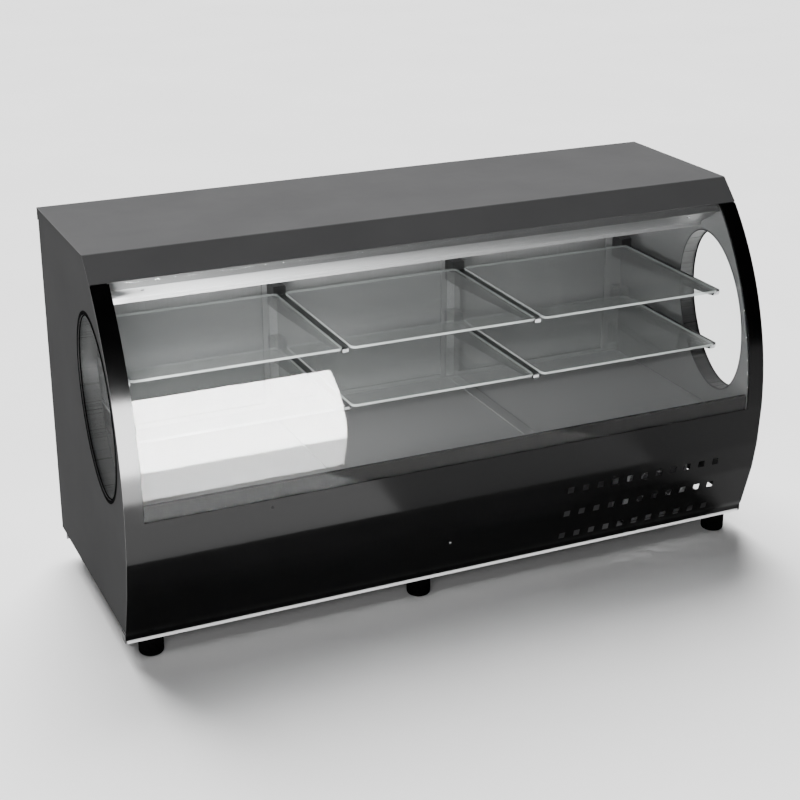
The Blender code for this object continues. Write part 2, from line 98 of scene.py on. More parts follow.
# ================================================================ materials
class Shader:
    """A Principled material and the few texture set-ups that this case needs."""

    def __init__(self, name, color, rough, metallic=0.0, **sockets):
        self.mat = bpy.data.materials.new(name)
        self.mat.use_nodes = True
        self.tree = self.mat.node_tree
        self.bsdf = self.tree.nodes["Principled BSDF"]
        self.set("Base Color", (*color, 1.0))
        self.set("Roughness", rough)
        self.set("Metallic", metallic)
        for socket, value in sockets.items():
            self.set(socket.replace("_", " "), value)

    def set(self, socket, value):
        self.bsdf.inputs[socket].default_value = value

    def node(self, kind, **values):
        node = self.tree.nodes.new(kind)
        for key, value in values.items():
            node.inputs[key.replace("_", " ")].default_value = value
        return node

    def link(self, out, into):
        self.tree.links.new(out, into)

    def noise(self, scale, stretch=(1.0, 1.0, 1.0), detail=3.0):
        """Noise in the case's own metres, drawn out along the axes whose stretch is small."""
        coords = self.node("ShaderNodeTexCoord")
        mapping = self.node("ShaderNodeMapping", Scale=stretch)
        texture = self.node("ShaderNodeTexNoise", Scale=scale, Detail=detail)
        self.link(coords.outputs["Object"], mapping.inputs["Vector"])
        self.link(mapping.outputs["Vector"], texture.inputs["Vector"])
        return texture.outputs["Fac"]

    def ramp(self, fac, low, high, start=0.35, end=0.65):
        """Turns a factor into a colour or grey value between low and high."""
        ramp = self.node("ShaderNodeValToRGB")
        ramp.color_ramp.elements[0].position = start
        ramp.color_ramp.elements[1].position = end
        for element, value in zip(ramp.color_ramp.elements, (low, high)):
            element.color = (*value, 1.0) if isinstance(value, tuple) else (value, value, value, 1.0)
        self.link(fac, ramp.inputs["Fac"])
        return ramp.outputs["Color"]

    def colour(self, fac, low, high, **places):
        self.link(self.ramp(fac, low, high, **places), self.bsdf.inputs["Base Color"])
        return self

    def roughness(self, fac, low, high):
        self.link(self.ramp(fac, low, high), self.bsdf.inputs["Roughness"])
        return self

    def bump(self, fac, strength, distance):
        bump = self.node("ShaderNodeBump", Strength=strength, Distance=distance)
        self.link(fac, bump.inputs["Height"])
        self.link(bump.outputs["Normal"], self.bsdf.inputs["Normal"])
        return self


def black_coat():
    """Gloss black powder coat: slow changes of tone and gloss over a faint orange peel."""
    shader = Shader("black powder coat", (0.002, 0.002, 0.002), 0.14, Specular_IOR_Level=0.10)
    shader.colour(shader.noise(35.0, detail=6.0), (0.0008, 0.0008, 0.0009), (0.0014, 0.0014, 0.0015))
    shader.roughness(shader.noise(9.0, detail=5.0), 0.12, 0.16)
    return shader.bump(shader.noise(420.0, detail=2.0), 0.05, 0.0002).mat


def grey_coat(name, low, high, specular):
    """Dark grey satin coat with a fine grain and slow changes of tone."""
    shader = Shader(name, low, 0.42, Specular_IOR_Level=specular)
    shader.colour(shader.noise(6.0, detail=5.0), low, high)
    shader.roughness(shader.noise(14.0, detail=4.0), 0.34, 0.38)
    return shader.bump(shader.noise(900.0, detail=2.0), 0.06, 0.0001).mat


def brushed(name, stretch, low, high, smooth, rough, metallic=0.7):
    """Stainless brushed along the axis whose stretch is small."""
    shader = Shader(name, low, smooth, metallic)
    grain = shader.noise(1.0, stretch, detail=4.0)
    shader.colour(grain, low, high, start=0.3, end=0.7)
    shader.roughness(grain, smooth, rough)
    return shader.bump(grain, 0.06, 0.0001).mat


def zinc():
    shader = Shader("zinc plated sheet", (0.6, 0.6, 0.6), 0.40, 1.0)
    cells = shader.node("ShaderNodeTexVoronoi", Scale=140.0)
    shader.link(shader.node("ShaderNodeTexCoord").outputs["Object"], cells.inputs["Vector"])
    shader.colour(cells.outputs["Distance"], (0.66, 0.665, 0.67), (0.80, 0.805, 0.81), start=0.1, end=0.7)
    return shader.roughness(shader.noise(60.0), 0.34, 0.50).mat


def plain(name, low, high, rough, scale=120.0, bump=0.10, metallic=0.0, **sockets):
    """A moulded or coated surface with a fine even texture."""
    shader = Shader(name, low, rough, metallic, **sockets)
    shader.colour(shader.noise(scale), low, high)
    shader.roughness(shader.noise(scale / 3), rough * 0.88, rough * 1.12)
    return shader.bump(shader.noise(scale * 6), bump, 0.0002).mat


def glass(name, haze, colour, tint, mirror=0.02, rough=0.02, grazing=1.0):
    """Clear glass: seen through, with a reflection that grows at a slant, over a faint film."""
    shader = Shader(name, (1.0, 1.0, 1.0), rough, 1.0)
    film = shader.ramp(shader.noise(7.0, detail=6.0), haze * 0.8, haze * 1.2)
    clear = shader.node("ShaderNodeBsdfTransparent", Color=(*tint, 1.0))
    dust = shader.node("ShaderNodeBsdfDiffuse", Color=(*colour, 1.0))
    slant = shader.node("ShaderNodeLayerWeight", Blend=0.5)
    power = shader.node("ShaderNodeMath")
    power.operation = "POWER"
    power.inputs[1].default_value = 5.0
    schlick = shader.node("ShaderNodeMath")
    schlick.operation = "MULTIPLY_ADD"
    schlick.inputs[1].default_value = grazing - mirror
    schlick.inputs[2].default_value = mirror
    body = shader.node("ShaderNodeMixShader")
    mix = shader.node("ShaderNodeMixShader")
    shader.link(film, body.inputs[0])
    shader.link(clear.outputs[0], body.inputs[1])
    shader.link(dust.outputs[0], body.inputs[2])
    shader.link(slant.outputs["Facing"], power.inputs[0])
    shader.link(power.outputs[0], schlick.inputs[0])
    shader.link(schlick.outputs[0], mix.inputs[0])
    shader.link(body.outputs[0], mix.inputs[1])
    shader.link(shader.bsdf.outputs[0], mix.inputs[2])
    shader.link(mix.outputs[0], shader.tree.nodes["Material Output"].inputs["Surface"])
    return shader.mat


def lamp_white():
    shader = Shader("lamp tube", (0.85, 0.85, 0.83), 0.25, Emission_Color=(1.0, 0.98, 0.94, 1.0),
                    Emission_Strength=0.5)
    return shader.colour(shader.noise(3.0, (1.0, 20.0, 20.0)), (0.80, 0.80, 0.78), (0.88, 0.88, 0.86)).mat


ALONG_X, ALONG_Y, ALONG_Z = (3.0, 700.0, 700.0), (700.0, 3.0, 700.0), (700.0, 700.0, 3.0)     # brushing grain

BLACK = black_coat()
GREY = grey_coat("grey satin coat", (0.064, 0.064, 0.065), (0.069, 0.069, 0.070), 0.05)
# A darker copy of the grey coat with no reflection, as painted shade on the end panels that face away from the
# light.
SHADED_END_COAT = grey_coat("end panel coat", (0.058, 0.058, 0.0585), (0.063, 0.063, 0.0635), 0.0)
STEEL_X = brushed("stainless brushed along the width", ALONG_X, (0.50, 0.50, 0.505), (0.62, 0.62, 0.625),
                  0.30, 0.42)
# Stainless with a dark base colour as painted shade, for the shelf arms and the tray floor that sit in shadow.
SHADED_STEEL = brushed("arm stainless", ALONG_Y, (0.10, 0.10, 0.102), (0.13, 0.13, 0.132), 0.40, 0.50, 0.5)
STEEL_Y = brushed("stainless brushed front to back", ALONG_Y, (0.50, 0.50, 0.505), (0.62, 0.62, 0.625),
                  0.30, 0.42)
DECK = brushed("deck stainless", ALONG_X, (0.35, 0.35, 0.352), (0.41, 0.41, 0.413), 0.36, 0.46, 0.3)
BACK = brushed("rear wall stainless", ALONG_Z, (0.22, 0.22, 0.222), (0.26, 0.26, 0.262), 0.40, 0.50, 0.3)
POLISHED = brushed("polished stainless", (700.0, 4.0, 700.0), (0.66, 0.66, 0.665), (0.74, 0.74, 0.745), 0.10, 0.17)
CANOPY = brushed("canopy stainless", (3.0, 500.0, 500.0), (0.085, 0.085, 0.086), (0.105, 0.105, 0.106),
                 0.32, 0.40, 0.1)
# The tray lip's stainless has a near-white base colour as a painted highlight along the lip.
HIGHLIGHT_LIP_STEEL = brushed("tray lip stainless", ALONG_X, (0.72, 0.72, 0.725), (0.82, 0.82, 0.825), 0.30, 0.42, 0.3)
SLEEVE = brushed("sleeve stainless", (4.0, 500.0, 500.0), (0.06, 0.06, 0.061), (0.09, 0.09, 0.091), 0.26, 0.36, 0.3)
ZINC = zinc()
ALUMINIUM = brushed("anodised aluminium", (4.0, 500.0, 500.0), (0.60, 0.60, 0.61), (0.70, 0.70, 0.71), 0.30, 0.40)
GLASS = glass("front glass", 0.002, (0.6, 0.6, 0.6), (0.985, 0.99, 0.988), 0.008)
PANE = glass("window glass", 0.004, (0.5, 0.5, 0.5), (0.96, 0.965, 0.963), 0.002, grazing=0.04)
SHELF_GLASS = glass("shelf glass", 0.24, (0.62, 0.63, 0.63), (0.95, 0.96, 0.955))
GLASS_EDGE = glass("polished glass edge", 0.45, (0.80, 0.83, 0.82), (0.80, 0.86, 0.84), 0.06, 0.12)
RUBBER = plain("black rubber", (0.0030, 0.0030, 0.0030), (0.0050, 0.0050, 0.0050), 0.55, 200.0, 0.25,
               Specular_IOR_Level=0.0)
PLASTIC = plain("black moulded plastic", (0.012, 0.012, 0.013), (0.022, 0.022, 0.023), 0.32, 160.0, 0.08)
TRIM = plain("gloss black trim", (0.004, 0.004, 0.0042), (0.007, 0.007, 0.0072), 0.20, 90.0, 0.02,
             Specular_IOR_Level=0.0)
RED = plain("red switch", (0.42, 0.020, 0.016), (0.50, 0.030, 0.022), 0.25, 90.0, 0.03)
MARK = plain("white marking ink", (0.62, 0.62, 0.60), (0.72, 0.72, 0.70), 0.50, 150.0, 0.03)
SCREW = plain("bright screw", (0.58, 0.58, 0.59), (0.70, 0.70, 0.71), 0.24, 220.0, 0.05, metallic=1.0)
DARK_SCREW = plain("dark screw", (0.03, 0.03, 0.03), (0.05, 0.05, 0.05), 0.35, 220.0, 0.05, metallic=0.6)
LAMP = lamp_white()


# ================================================================ modelling helpers
def place(axis, u, v, w):
    return {"x": (w, u, v), "y": (u, w, v), "z": (u, v, w)}[axis]


def link(name, mesh, mat):
    obj = bpy.data.objects.new(name, mesh)
    bpy.context.scene.collection.objects.link(obj)
    mesh.materials.clear()
    mesh.materials.append(mat)
    return obj


def settle(obj, bevel=0.0, segments=2):
    """Bevels the sharp edges, applies every modifier and placement, and shades flats flat and rounds smooth."""
    if bevel:
        rounding = obj.modifiers.new("Edges", "BEVEL")
        rounding.width = bevel
        rounding.segments = segments
        rounding.limit_method = "ANGLE"
        rounding.angle_limit = math.radians(32)
    bpy.context.view_layer.update()
    mesh = bpy.data.meshes.new_from_object(obj.evaluated_get(bpy.context.evaluated_depsgraph_get()))
    mesh.transform(obj.matrix_world)
    fresh = link("settled", mesh, obj.data.materials[0])
    name = obj.name
    bpy.data.objects.remove(obj)
    fresh.name = name
    mesh.shade_smooth()
    mesh.set_sharp_from_angle(angle=math.radians(50))
    weigh = fresh.modifiers.new("Flats", "WEIGHTED_NORMAL")
    weigh.keep_sharp = True
    return fresh


def soften(line, radius, steps=3):
    """Rounds the corners of an open 2D line."""
    out = [Vector(line[0])]
    for before, corner, after in zip(line, line[1:], line[2:]):
        before, corner, after = Vector(before), Vector(corner), Vector(after)
        reach = min(radius, (before - corner).length * 0.45, (after - corner).length * 0.45)
        a = corner + (before - corner).normalized() * reach
        b = corner + (after - corner).normalized() * reach
        for k in range(steps + 1):
            t = k / steps
            out.append(a * (1 - t) ** 2 + corner * 2 * t * (1 - t) + b * t ** 2)
    return [tuple(p) for p in out + [Vector(line[-1])]]


def folded(name, axis, line, low, high, mat, side, thickness=SHEET, bevel=0.0003, cutters=()):
    """A folded sheet from a 2D line, swept along an axis and thickened to its left (1) or right (-1)."""
    bm = bmesh.new()
    row = [bm.verts.new(place(axis, u, v, low)) for u, v in line]
    edges = [bm.edges.new(pair) for pair in zip(row, row[1:])]
    swept = bmesh.ops.extrude_edge_only(bm, edges=edges)["geom"]
    moved = [item for item in swept if isinstance(item, bmesh.types.BMVert)]
    bmesh.ops.translate(bm, vec=place(axis, 0.0, 0.0, high - low), verts=moved)
    bm.normal_update()
    (u0, v0), (u1, v1) = line[0], line[1]
    if edges[0].link_faces[0].normal.dot(Vector(place(axis, v0 - v1, u1 - u0, 0.0))) * side > 0:
        bmesh.ops.reverse_faces(bm, faces=bm.faces)
    mesh = bpy.data.meshes.new(name)
    bm.to_mesh(mesh)
    bm.free()
    obj = link(name, mesh, mat)
    sheet = obj.modifiers.new("Sheet", "SOLIDIFY")
    sheet.thickness = thickness
    sheet.offset = -1.0
    sheet.use_even_offset = True
    for cutter in cutters:
        boolean = obj.modifiers.new("Cut", "BOOLEAN")
        boolean.object = cutter
    obj = settle(obj, bevel)
    for cutter in cutters:
        bpy.data.objects.remove(cutter)
    return obj


def slab(name, axis, loops, low, high, mat, bevel=0.0004, segments=2):
    """A flat outline with holes, extruded along an axis, its edges bevelled."""
    curve = bpy.data.curves.new(name, "CURVE")
    curve.dimensions = "2D"
    curve.fill_mode = "BOTH"
    curve.extrude = (high - low) / 2
    for loop in loops:
        spline = curve.splines.new("POLY")
        spline.points.add(len(loop) - 1)
        for point, (u, v) in zip(spline.points, loop):
            point.co = (u, v, 0.0, 1.0)
        spline.use_cyclic_u = True
    drawn = bpy.data.objects.new("outline", curve)
    bpy.context.scene.collection.objects.link(drawn)
    drawn.location = place(axis, 0.0, 0.0, (low + high) / 2)
    drawn.rotation_euler = ACROSS[axis]
    bpy.context.view_layer.update()
    mesh = bpy.data.meshes.new_from_object(drawn.evaluated_get(bpy.context.evaluated_depsgraph_get()))
    mesh.transform(drawn.matrix_world)
    bpy.data.objects.remove(drawn)
    bm = bmesh.new()
    bm.from_mesh(mesh)
    bmesh.ops.remove_doubles(bm, verts=bm.verts, dist=1e-6)
    bmesh.ops.dissolve_limit(bm, angle_limit=math.radians(1), verts=bm.verts, edges=bm.edges)
    bmesh.ops.recalc_face_normals(bm, faces=bm.faces)
    bm.to_mesh(mesh)
    bm.free()
    return settle(link(name, mesh, mat), bevel, segments)


def loft(name, rings, mat):
    """A closed skin round rings of equal point counts, the last ring joined back to the first."""
    bm = bmesh.new()
    loops = [[bm.verts.new(p) for p in ring] for ring in rings]
    for low, high in zip(loops, loops[1:] + loops[:1]):
        for a, b, c, d in zip(low, low[1:] + low[:1], high[1:] + high[:1], high):
            bm.faces.new((a, b, c, d))
    bmesh.ops.recalc_face_normals(bm, faces=bm.faces)
    mesh = bpy.data.meshes.new(name)
    bm.to_mesh(mesh)
    bm.free()
    return settle(link(name, mesh, mat))


def turned(name, profile, centre, direction, mat, steps=48, closed=False):
    """Turns (radius, height) points, listed down the outer side, about a line through centre."""
    edges = [(k, k + 1) for k in range(len(profile) - 1)]
    if closed:
        edges.append((len(profile) - 1, 0))
    mesh = bpy.data.meshes.new(name)
    mesh.from_pydata([(r, 0.0, h) for r, h in profile], edges, [])
    obj = link(name, mesh, mat)
    obj.matrix_world = Matrix.Translation(centre) @ Vector(direction).to_track_quat("Z", "Y").to_matrix().to_4x4()
    screw = obj.modifiers.new("Turn", "SCREW")
    screw.steps = screw.render_steps = steps
    screw.use_merge_vertices = True
    screw.merge_threshold = 0.00001
    return settle(obj)


def arc(centre, radius, start, end, steps):
    angles = [math.radians(start + (end - start) * k / steps) for k in range(steps + 1)]
    return [(centre[0] + radius * math.cos(t), centre[1] + radius * math.sin(t)) for t in angles]


def circle(centre, radius, steps=64):
    return arc(centre, radius, 0, 360, steps)[:-1]


def rounded(u0, v0, u1, v1, radius, steps=6):
    corners = ((u1 - radius, v1 - radius), (u0 + radius, v1 - radius), (u0 + radius, v0 + radius),
               (u1 - radius, v0 + radius))
    loop = []
    for k, corner in enumerate(corners):
        loop += arc(corner, radius, 90 * k, 90 * k + 90, steps)
    return loop


def ellipse(radii, steps=144):
    c, s = math.cos(WINDOW_TILT), math.sin(WINDOW_TILT)
    loop = []
    for k in range(steps):
        t = 2 * math.pi * k / steps
        u, v = radii[0] * math.cos(t), radii[1] * math.sin(t)
        loop.append((WINDOW_CENTRE[0] + u * c - v * s, WINDOW_CENTRE[1] + u * s + v * c))
    return loop


def evenly(low, high, steps):
    return [low + (high - low) * k / steps for k in range(steps + 1)]


def front_point(z):
    cy, cz, r = UPPER_ARC if z >= ARC_SPLIT_Z else LOWER_ARC
    return (cy - math.sqrt(r ** 2 - (z - cz) ** 2), z)


def put(obj, node=None, body="case"):
    """The piece rides on a body and may stand for a CAD node."""
    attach(obj, body)
    if node:
        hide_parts(node)
    return obj


def paint(mat, *names):
    """Gives CAD nodes that are shown as they are their material."""
    for name in names:
        data = frame["nodes"][name].data
        data.materials.clear()
        data.materials.append(mat)


def screw(name, centre, direction, radius=0.0032, mat=SCREW, body="case", slot="stainless"):
    """A pan-head screw with a round drive recess."""
    profile = [(0.0, radius * 0.22), (radius * 0.38, radius * 0.24), (radius * 0.42, radius * 0.52)]
    profile += [(radius * (0.42 + 0.58 * math.sin(t)), radius * 0.52 * math.cos(t))
                for t in (0.3, 0.7, 1.1, 1.4)]
    profile += [(radius, -0.0002), (0.0, -0.0002)]
    return put(turned(name, profile, centre, direction, mat, 24), body=body)


# ================================================================ shell
def front_panel():
    """The black apron with its two long bends, the bands beside the glass and three rows of square vents."""
    bends = [front_point(z) for z in APRON_BEND_Z[::-1]]
    low = soften([*APRON_HEM, *bends, front_point(APRON_TOP_Z)], 0.0060, 4)
    curve = [front_point(z) for z in evenly(APRON_TOP_Z, BAND_TOP_Z, 64)][1:]
    cutters = []
    for z in VENT_ROWS_Z:
        half = VENT_SIZE / 2
        for k in range(VENT_COUNT):
            x = VENT_X0 + VENT_PITCH * k
            cutters.append(slab("vent", "y", [rounded(x - half, z - half, x + half, z + half, 0.0016, 3)],
                                -0.35, -0.20, BLACK, bevel=0.0))
    tools = join("vents", cutters)
    opening = [(-BAND_INNER_X, APRON_TOP_Z), (BAND_INNER_X, APRON_TOP_Z), (BAND_INNER_X, HEIGHT),
               (-BAND_INNER_X, HEIGHT)]
    window = slab("opening", "y", [opening], -0.40, 0.10, BLACK, bevel=0.0)
    panel = folded("apron_sheet", "x", low + curve, -HALF_W, HALF_W, BLACK, -1, bevel=0.00035,
                   cutters=[tools, window])
    put(panel, "front_panel")
    for side, sign in (("left", -1), ("right", 1)):
        x0, x1 = sorted((sign * 0.7486, sign * HALF_W))
        tab = [(-0.2440, 0.0600), (-0.2440, 0.0440), (-0.2400, 0.0390), (-0.2200, 0.0390), (-0.2150, 0.0440),
               (-0.2150, 0.0600)]
        put(slab(f"end_tab_{side}", "x", [tab], x0, x1, BLACK))


def join(name, objects):
    """One object of several that don't touch."""
    bm = bmesh.new()
    for obj in objects:
        bm.from_mesh(obj.data)
        bpy.data.objects.remove(obj)
    mesh = bpy.data.meshes.new(name)
    bm.to_mesh(mesh)
    bm.free()
    return link(name, mesh, BLACK)


def top_cover():
    line = soften([(Y_REAR, 0.7952), (Y_REAR, HEIGHT), ROOF_FRONT, FASCIA_LOW], 0.0022)
    cover = folded("roof_and_fascia", "x", line, -HALF_W, HALF_W, GREY, 1, bevel=0.0004)
    put(cover, "top_cover")
    lip = [FASCIA_LOW, (FASCIA_LOW[0] + 0.0085, FASCIA_LOW[1] - 0.0012)]
    hem = folded("fascia_return", "x", lip, -BAND_INNER_X + 0.0006, BAND_INNER_X - 0.0006, GREY, -1, 0.0010)
    put(hem)


def window(side, sign):
    """The oval window: a pane in a sleeve, steel inside and black outside, whose lip has a groove round it."""
    profile = [(0.0, 0.7102), (0.0026, 0.7102), (0.0028, 0.7106), (0.0028, 0.7488), (0.0078, 0.7488),
               (0.0080, 0.7492), (0.0076, 0.7498), (0.0070, 0.7500), (0.0048, 0.7500), (0.0044, 0.7494),
               (0.0036, 0.7494), (0.0032, 0.7500), (0.0008, 0.7500), (0.0002, 0.7497), (0.0, 0.7491)]
    rings = []
    for out, x in profile:
        rings.append([(sign * x, *p) for p in ellipse((SLEEVE_IN[0] + out, SLEEVE_IN[1] + out))])
    sleeve = put(loft(f"window_sleeve_{side}", rings, TRIM), f"window_trim_{side}")
    sleeve.data.materials.append(SLEEVE)
    for face in sleeve.data.polygons:
        if abs(face.center.x) < 0.7400:
            face.material_index = 1
    pane = ellipse((SLEEVE_IN[0] - 0.0003, SLEEVE_IN[1] - 0.0003))
    x0, x1 = sorted((sign * 0.7400, sign * 0.7450))
    put(slab(f"window_pane_{side}", "x", [pane], x0, x1, PANE), f"side_glass_{side}")
    bead = []
    for k in range(8):
        t = 2 * math.pi * k / 8
        out = -0.0014 + 0.0013 * math.cos(t)
        bead.append([(sign * (0.7464 + 0.0013 * math.sin(t)), *p)
                     for p in ellipse((SLEEVE_IN[0] + out, SLEEVE_IN[1] + out))])
    put(loft(f"window_gasket_{side}", bead, RUBBER))


def base_tray():
    """The folded tray: a floor between the end walls, and a front lip that runs the whole width."""
    floor_line = soften([(-0.2360, 0.0390), (0.2660, 0.0390), (0.2660, 0.0700)], 0.0009)
    put(folded("base_tray_sheet", "x", floor_line, -0.7220, 0.7220, SHADED_STEEL, 1), "base_tray")
    lip = [(-0.2404, 0.0600), (-0.2404, 0.0460), (-0.2424, 0.0440), (-0.2424, 0.0390), (-0.2360, 0.0390)]
    put(folded("base_tray_lip", "x", lip, -0.7465, 0.7465, HIGHLIGHT_LIP_STEEL, 1))


# ================================================================ glass, sill and light
def edge_material(pane):
    """The narrow sides of a flat pane get the polished edge's material."""
    pane.data.materials.append(GLASS_EDGE)
    for face in pane.data.polygons:
        if abs(face.normal.z) < 0.8:
            face.material_index = 1


def front_glass():
    line = [front_point(z) for z in evenly(GLASS_BOTTOM, BAND_TOP_Z, 72)]
    pane = folded("curved_front_glass", "x", line, -INSIDE_X, INSIDE_X, GLASS, -1, GLASS_T, bevel=0.0008)
    put(pane, "front_glass")
    sill = soften([(-0.2890, 0.3000), (-0.2890, 0.3577), (-0.2770, 0.3577), (-0.2770, 0.2650)], 0.0016)
    put(folded("sill", "x", sill, -INSIDE_X, INSIDE_X, RUBBER, -1), "front_sill")


def light():
    """Canopy, lamp tube with its end caps, and the two holders."""
    line = soften([(-0.1285, 0.7735), (-0.1385, 0.7572), (-0.0673, 0.7141), (-0.0673, 0.7043),
                   (-0.0560, 0.7043)], 0.0014)
    put(folded("canopy_sheet", "x", line, -INSIDE_X, INSIDE_X, CANOPY, 1), "light_canopy")
    slope = Vector((0.0, -0.0431, -0.0712)).normalized()
    for side, x in (("left", -0.64), ("right", 0.64)):
        screw(f"canopy_screw_{side}", (x, -0.1190, 0.7454), slope, 0.0036)
    y, z = LAMP_Y, LAMP_Z
    tube = [(0.0, 0.6150), (0.0118, 0.6150), (0.0132, 0.6138), (0.0135, 0.6120), (0.0135, 0.5960),
            (0.0129, 0.5950), (0.0129, -0.5950), (0.0135, -0.5960), (0.0135, -0.6120), (0.0132, -0.6138),
            (0.0118, -0.6150), (0.0, -0.6150)]
    put(turned("lamp_tube", tube, (0.0, y, z), (1, 0, 0), LAMP, 32), "lamp_tube")
    for side, sign in (("left", -1), ("right", 1)):
        x0, x1 = sorted((sign * 0.6154, sign * 0.6328))
        holder = rounded(y - 0.0168, z - 0.0168, y + 0.0168, 0.7985, 0.0050)
        put(slab(f"lampholder_{side}", "x", [holder], x0, x1, PLASTIC, 0.0008),
            f"lampholder_{side}")
        collar = [(0.0160, 0.0006), (0.0160, -0.0016), (0.0140, -0.0016), (0.0140, 0.0006)]
        put(turned(f"lampholder_collar_{side}", collar, (sign * 0.6144, y, z), (sign, 0, 0), PLASTIC, 32,
                   closed=True))


# ================================================================ shelves and deck
def shelves():
    for level in LEVELS:
        for bay in BAYS:
            node = f"shelf_{level}_{bay}"
            low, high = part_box(node)
            plan = rounded(low.x, low.y, high.x, high.y, 0.0120, 8)
            pane = slab(f"shelf_{level}_{bay}", "z", [plan], low.z, high.z, SHELF_GLASS, 0.0012, 3)
            edge_material(pane)
            put(pane, node)


def brackets():
    """Tapered arms, each with an upturned hook at its tip."""
    for level in LEVELS:
        for number in range(1, 5):
            node = f"bracket_{level}_{number}"
            low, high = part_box(node)
            under = high.z - 0.0200
            side = [(low.y, under - 0.0100), (0.2220, under - 0.0340), (high.y, under - 0.0340), (high.y, high.z),
                    (0.2220, high.z), (0.2220, under), (low.y, under)]
            put(slab(f"bracket_{level}_{number}", "x", [side], low.x, high.x, SHADED_STEEL, 0.0008), node)
            middle = (low.x + high.x) / 2
            hook = soften([(low.y + 0.0120, under - 0.0104), (low.y - 0.0060, under - 0.0100),
                           (low.y - 0.0060, under - 0.0012)], 0.0030)
            put(folded(f"bracket_hook_{level}_{number}", "x", hook, middle - 0.0070, middle + 0.0070, SCREW, 1,
                       0.0016))


def deck():
    for bay in BAYS:
        node = f"deck_pan_{bay}"
        low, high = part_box(node)
        plan = rounded(low.x, low.y, high.x, high.y, 0.0020, 3)
        put(slab(f"deck_pan_{bay}", "z", [plan], low.z, high.z, DECK, 0.0005), node)
    for side, x in (("left", -0.2390), ("right", 0.2390)):
        half = [(0.0140, 0.2862), (0.0140, 0.2825), (0.0280, 0.2825)]
        hat = [(x - u, v) for u, v in half[::-1]] + [(x + u, v) for u, v in half]
        strip = folded(f"deck_strip_{side}", "y", soften(hat, 0.0012), -0.2755, 0.2670, STEEL_Y, -1)
        put(strip, f"deck_strip_{side}")


# ================================================================ rear wall, doors
def rear():
    paint(BACK, "rear_frame")
    paint(ALUMINIUM, "track_lower", "track_upper")
    for side, x in (("left", -MULLION_X), ("right", MULLION_X)):
        strip = soften([(x - 0.0100, 0.2676), (x - 0.0100, 0.2664), (x + 0.0100, 0.2664),
                        (x + 0.0100, 0.2676)], 0.0008)
        put(folded(f"mullion_strip_{side}", "z", strip, 0.2900, 0.7360, STEEL_Y, 1, 0.0008))
    for bay in BAYS:
        node, body = f"rear_door_{bay}", f"door_{bay}"
        paint(BACK, node)
        low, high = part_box(node)
        outside = high.y
        for edge, x0 in (("left", low.x), ("right", high.x - 0.0110)):
            rib = rounded(x0, low.z + 0.0120, x0 + 0.0110, high.z - 0.0150, 0.0020, 3)
            put(slab(f"door_stile_{bay}_{edge}", "y", [rib], outside - 0.0001, outside + 0.0005, STEEL_X, 0.0002),
                body=body)
        grip_low, grip_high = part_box(f"door_grip_{bay}")
        middle = (grip_low + grip_high) / 2
        profile = [(0.0, -0.0017), (0.0132, -0.0017), (0.0140, -0.0009), (0.0140, 0.0028), (0.0145, 0.0032),
                   (0.0184, 0.0032), (0.0190, 0.0029), (0.0190, 0.0027), (0.0157, 0.0027), (0.0157, -0.0025),
                   (0.0, -0.0025)]
        middle.y = (low.y + high.y) / 2
        put(turned(f"door_cup_{bay}", profile, middle, (0, 1, 0), BACK, 64), f"door_grip_{bay}", body)


# ================================================================ machine space
def knob():
    """A ribbed thermostat knob with a pointer line, on a dial plate with plain tick marks."""
    low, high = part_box("thermostat_knob")
    x, z, y = (low.x + high.x) / 2, (low.z + high.z) / 2, low.y
    skirt = [(0.0, 0.0042), (0.0150, 0.0042), (0.0165, 0.0040), (0.0192, 0.0032), (0.0200, 0.0024), (0.0200, 0.0),
             (0.0, 0.0)]
    put(turned("knob_skirt", skirt, (x, y, z), (0, 1, 0), PLASTIC), "thermostat_knob", "knob")
    ribs = []
    for k in range(96):
        t = 2 * math.pi * k / 96
        radius = 0.0144 + 0.0005 * math.cos(24 * t)
        ribs.append((x + radius * math.cos(t), z + radius * math.sin(t)))
    put(slab("knob_grip", "y", [ribs], y + 0.0030, y + 0.0180, PLASTIC, 0.0008, 3), body="knob")
    line = rounded(x - 0.0006, z + 0.0030, x + 0.0006, z + 0.0125, 0.0005, 3)
    put(slab("knob_pointer", "y", [line], y + 0.0176, y + 0.01802, MARK, 0.0), body="knob")
    plate = high.y - 0.0180 - 0.0003
    for k in range(10):
        t = math.radians(225 - 30 * k)
        du, dv = math.cos(t), math.sin(t)
        mark = [(x + r * du - w * dv, z + r * dv + w * du)
                for r, w in ((0.0220, -0.0004), (0.0250, -0.0004), (0.0250, 0.0004), (0.0220, 0.0004))]
        put(slab(f"dial_mark_{k + 1}", "y", [mark], plate - 0.0001, plate + 0.0001, MARK, 0.0))


def switches():
    for kind, mat, slot in (("power", RED, "red_plastic"), ("light", PLASTIC, "black_plastic")):
        node = f"{kind}_switch"
        paint(mat, node)
        low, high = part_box(node)
        outer = rounded(low.x - 0.0030, low.z - 0.0040, high.x + 0.0030, high.z + 0.0040, 0.0020)
        inner = rounded(low.x - 0.0004, low.z - 0.0006, high.x + 0.0004, high.z + 0.0006, 0.0006)
        put(slab(f"{kind}_switch_bezel", "y", [outer, inner], 0.2709, 0.2724, PLASTIC, 0.0004))
    dome = [(0.0, 0.0042), (0.0024, 0.0036), (0.0040, 0.0018), (0.0044, 0.0006), (0.0056, 0.0006), (0.0060, 0.0),
            (0.0, 0.0)]
    put(turned("pilot_light", dome, (-0.4480, 0.2709, 0.1500), (0, 1, 0), RED, 32))


